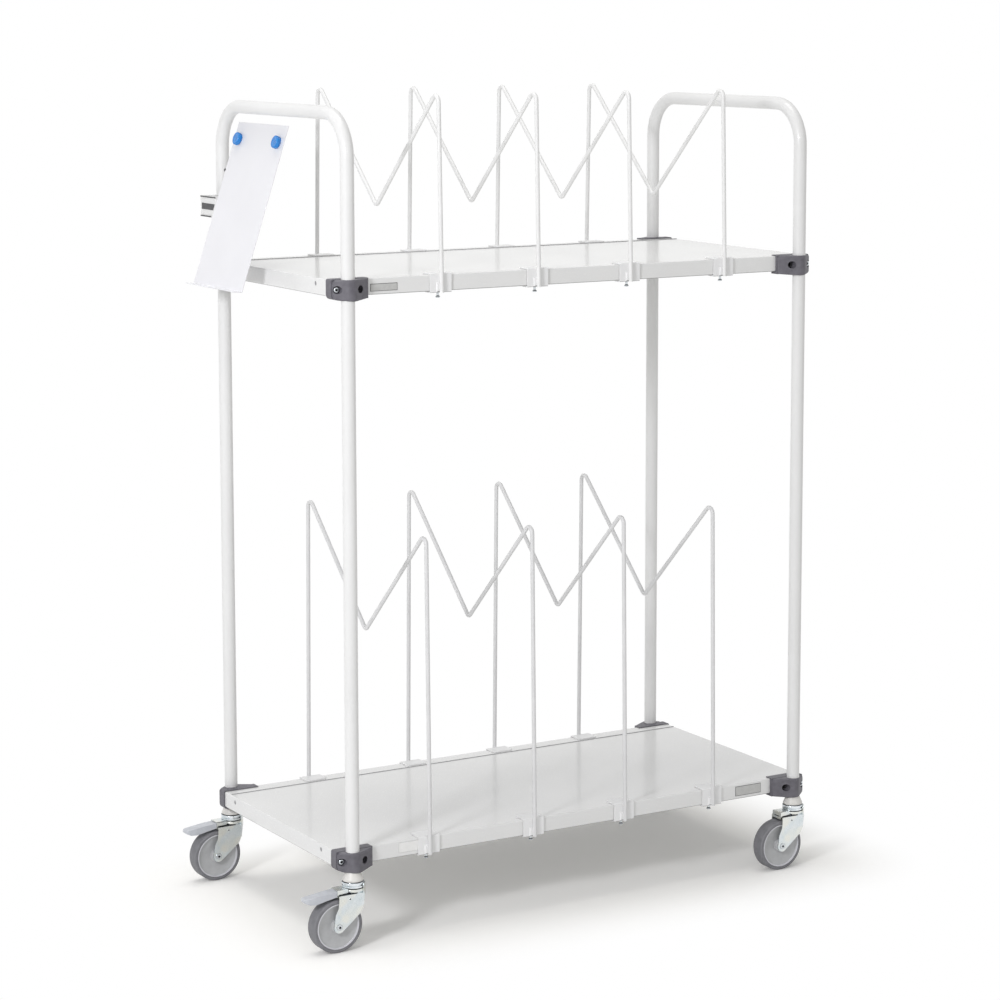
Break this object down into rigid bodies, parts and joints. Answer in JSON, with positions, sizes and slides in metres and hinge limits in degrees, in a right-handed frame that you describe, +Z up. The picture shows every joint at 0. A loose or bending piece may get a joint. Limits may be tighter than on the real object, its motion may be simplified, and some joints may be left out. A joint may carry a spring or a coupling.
{
  "type": "box trolley",
  "caption": "Two-shelf trolley for boxes and files, with tubular push ends, sliding wire dividers, swivel casters and a document holder.",
  "frame": {"origin": "on the floor under the middle of the whole trolley with its document holder", "axes": "+Z up, +X along the length to the right end, +Y to the rear; the document holder is at -X"},
  "size_m": [1.1377, 0.5636, 1.5671],
  "materials": {
    "tube_coating": "satin white powder coating on steel tube",
    "tray_coating": "satin white powder coating on sheet steel",
    "wire_coating": "satin white powder coating on round steel bar",
    "clamp_plastic": "grey moulded plastic",
    "plug_plastic": "cream moulded plastic",
    "zinc_plated_steel": "bright zinc plating",
    "hub_plastic": "grey moulded plastic",
    "tyre_rubber": "grey non-marking rubber",
    "pedal_coating": "light grey coating",
    "magnet_plastic": "blue moulded cap"
  },
  "bodies": {
    "frame": {"left_end_frame": "tube_coating", "right_end_frame": "tube_coating", "lower_shelf": "tray_coating", "upper_shelf": "tray_coating", "lower_front_left_clamp_seat": "clamp_plastic", "lower_front_left_clamp_shell": "clamp_plastic", "lower_front_right_clamp_seat": "clamp_plastic", "lower_front_right_clamp_shell": "clamp_plastic", "lower_rear_left_clamp_seat": "clamp_plastic", "lower_rear_left_clamp_shell": "clamp_plastic", "lower_rear_right_clamp_seat": "clamp_plastic", "lower_rear_right_clamp_shell": "clamp_plastic", "upper_front_left_clamp_seat": "clamp_plastic", "upper_front_left_clamp_shell": "clamp_plastic", "upper_front_right_clamp_seat": "clamp_plastic", "upper_front_right_clamp_shell": "clamp_plastic", "upper_rear_left_clamp_seat": "clamp_plastic", "upper_rear_left_clamp_shell": "clamp_plastic", "upper_rear_right_clamp_seat": "clamp_plastic", "upper_rear_right_clamp_shell": "clamp_plastic", "caster_front_left_plug": "plug_plastic", "caster_front_left_king_pin": "zinc_plated_steel", "caster_front_right_plug": "plug_plastic", "caster_front_right_king_pin": "zinc_plated_steel", "caster_rear_left_plug": "plug_plastic", "caster_rear_left_king_pin": "zinc_plated_steel", "caster_rear_right_plug": "plug_plastic", "caster_rear_right_king_pin": "zinc_plated_steel"},
    "lower_divider_1": {"lower_divider_1": "wire_coating"},
    "lower_divider_2": {"lower_divider_2": "wire_coating"},
    "lower_divider_3": {"lower_divider_3": "wire_coating"},
    "lower_divider_4": {"lower_divider_4": "wire_coating"},
    "upper_divider_1": {"upper_divider_1": "wire_coating"},
    "upper_divider_2": {"upper_divider_2": "wire_coating"},
    "upper_divider_3": {"upper_divider_3": "wire_coating"},
    "upper_divider_4": {"upper_divider_4": "wire_coating"},
    "front_left_fork": {"caster_front_left_fork": "zinc_plated_steel", "caster_front_left_axle": "zinc_plated_steel"},
    "front_left_wheel": {"caster_front_left_hub": "hub_plastic", "caster_front_left_tyre": "tyre_rubber"},
    "front_left_pedal": {"caster_front_left_brake_pedal": "pedal_coating"},
    "front_right_fork": {"caster_front_right_fork": "zinc_plated_steel", "caster_front_right_axle": "zinc_plated_steel"},
    "front_right_wheel": {"caster_front_right_hub": "hub_plastic", "caster_front_right_tyre": "tyre_rubber"},
    "rear_left_fork": {"caster_rear_left_fork": "zinc_plated_steel", "caster_rear_left_axle": "zinc_plated_steel"},
    "rear_left_wheel": {"caster_rear_left_hub": "hub_plastic", "caster_rear_left_tyre": "tyre_rubber"},
    "rear_left_pedal": {"caster_rear_left_brake_pedal": "pedal_coating"},
    "rear_right_fork": {"caster_rear_right_fork": "zinc_plated_steel", "caster_rear_right_axle": "zinc_plated_steel"},
    "rear_right_wheel": {"caster_rear_right_hub": "hub_plastic", "caster_rear_right_tyre": "tyre_rubber"},
    "holder_sleeve": {"holder_sleeve": "clamp_plastic"},
    "holder": {"holder_bracket": "tray_coating", "holder_screw": "zinc_plated_steel", "holder_panel": "tray_coating", "holder_rear_magnet": "magnet_plastic", "holder_front_magnet": "magnet_plastic"}
  },
  "joints": [
    {"name": "lower_divider_1_slide", "type": "slide", "parent": "frame", "child": "lower_divider_1", "axis": [1, 0, 0], "range_m": [-0.075, 0.075]},
    {"name": "lower_divider_2_slide", "type": "slide", "parent": "frame", "child": "lower_divider_2", "axis": [1, 0, 0], "range_m": [-0.075, 0.075]},
    {"name": "lower_divider_3_slide", "type": "slide", "parent": "frame", "child": "lower_divider_3", "axis": [1, 0, 0], "range_m": [-0.075, 0.075]},
    {"name": "lower_divider_4_slide", "type": "slide", "parent": "frame", "child": "lower_divider_4", "axis": [1, 0, 0], "range_m": [-0.075, 0.075]},
    {"name": "upper_divider_1_slide", "type": "slide", "parent": "frame", "child": "upper_divider_1", "axis": [1, 0, 0], "range_m": [-0.075, 0.075]},
    {"name": "upper_divider_2_slide", "type": "slide", "parent": "frame", "child": "upper_divider_2", "axis": [1, 0, 0], "range_m": [-0.075, 0.075]},
    {"name": "upper_divider_3_slide", "type": "slide", "parent": "frame", "child": "upper_divider_3", "axis": [1, 0, 0], "range_m": [-0.075, 0.075]},
    {"name": "upper_divider_4_slide", "type": "slide", "parent": "frame", "child": "upper_divider_4", "axis": [1, 0, 0], "range_m": [-0.075, 0.075]},
    {"name": "front_left_swivel", "type": "hinge", "parent": "frame", "child": "front_left_fork", "pos_m": [-0.46118, -0.261, 0.11], "axis": [0, 0, 1], "continuous": true},
    {"name": "front_left_wheel_spin", "type": "hinge", "parent": "front_left_fork", "child": "front_left_wheel", "pos_m": [-0.49868, -0.261, 0.05], "axis": [0, 1, 0], "continuous": true},
    {"name": "front_left_brake_press", "type": "hinge", "parent": "front_left_fork", "child": "front_left_pedal", "pos_m": [-0.47668, -0.261, 0.1004], "axis": [0, 1, 0], "range_deg": [-5.5, 0]},
    {"name": "front_right_swivel", "type": "hinge", "parent": "frame", "child": "front_right_fork", "pos_m": [0.53882, -0.261, 0.11], "axis": [0, 0, 1], "continuous": true},
    {"name": "front_right_wheel_spin", "type": "hinge", "parent": "front_right_fork", "child": "front_right_wheel", "pos_m": [0.50132, -0.261, 0.05], "axis": [0, 1, 0], "continuous": true},
    {"name": "rear_left_swivel", "type": "hinge", "parent": "frame", "child": "rear_left_fork", "pos_m": [-0.46118, 0.261, 0.11], "axis": [0, 0, 1], "continuous": true},
    {"name": "rear_left_wheel_spin", "type": "hinge", "parent": "rear_left_fork", "child": "rear_left_wheel", "pos_m": [-0.49868, 0.261, 0.05], "axis": [0, 1, 0], "continuous": true},
    {"name": "rear_left_brake_press", "type": "hinge", "parent": "rear_left_fork", "child": "rear_left_pedal", "pos_m": [-0.47668, 0.261, 0.1004], "axis": [0, 1, 0], "range_deg": [-5.5, 0]},
    {"name": "rear_right_swivel", "type": "hinge", "parent": "frame", "child": "rear_right_fork", "pos_m": [0.53882, 0.261, 0.11], "axis": [0, 0, 1], "continuous": true},
    {"name": "rear_right_wheel_spin", "type": "hinge", "parent": "rear_right_fork", "child": "rear_right_wheel", "pos_m": [0.50132, 0.261, 0.05], "axis": [0, 1, 0], "continuous": true},
    {"name": "holder_slide", "type": "slide", "parent": "frame", "child": "holder_sleeve", "axis": [0, 0, 1], "range_m": [-0.078, 0.015]},
    {"name": "holder_swivel", "type": "hinge", "parent": "holder_sleeve", "child": "holder", "pos_m": [-0.46118, 0.261, 1.342], "axis": [0, 0, 1], "range_deg": [-180, 0]}
  ]
}
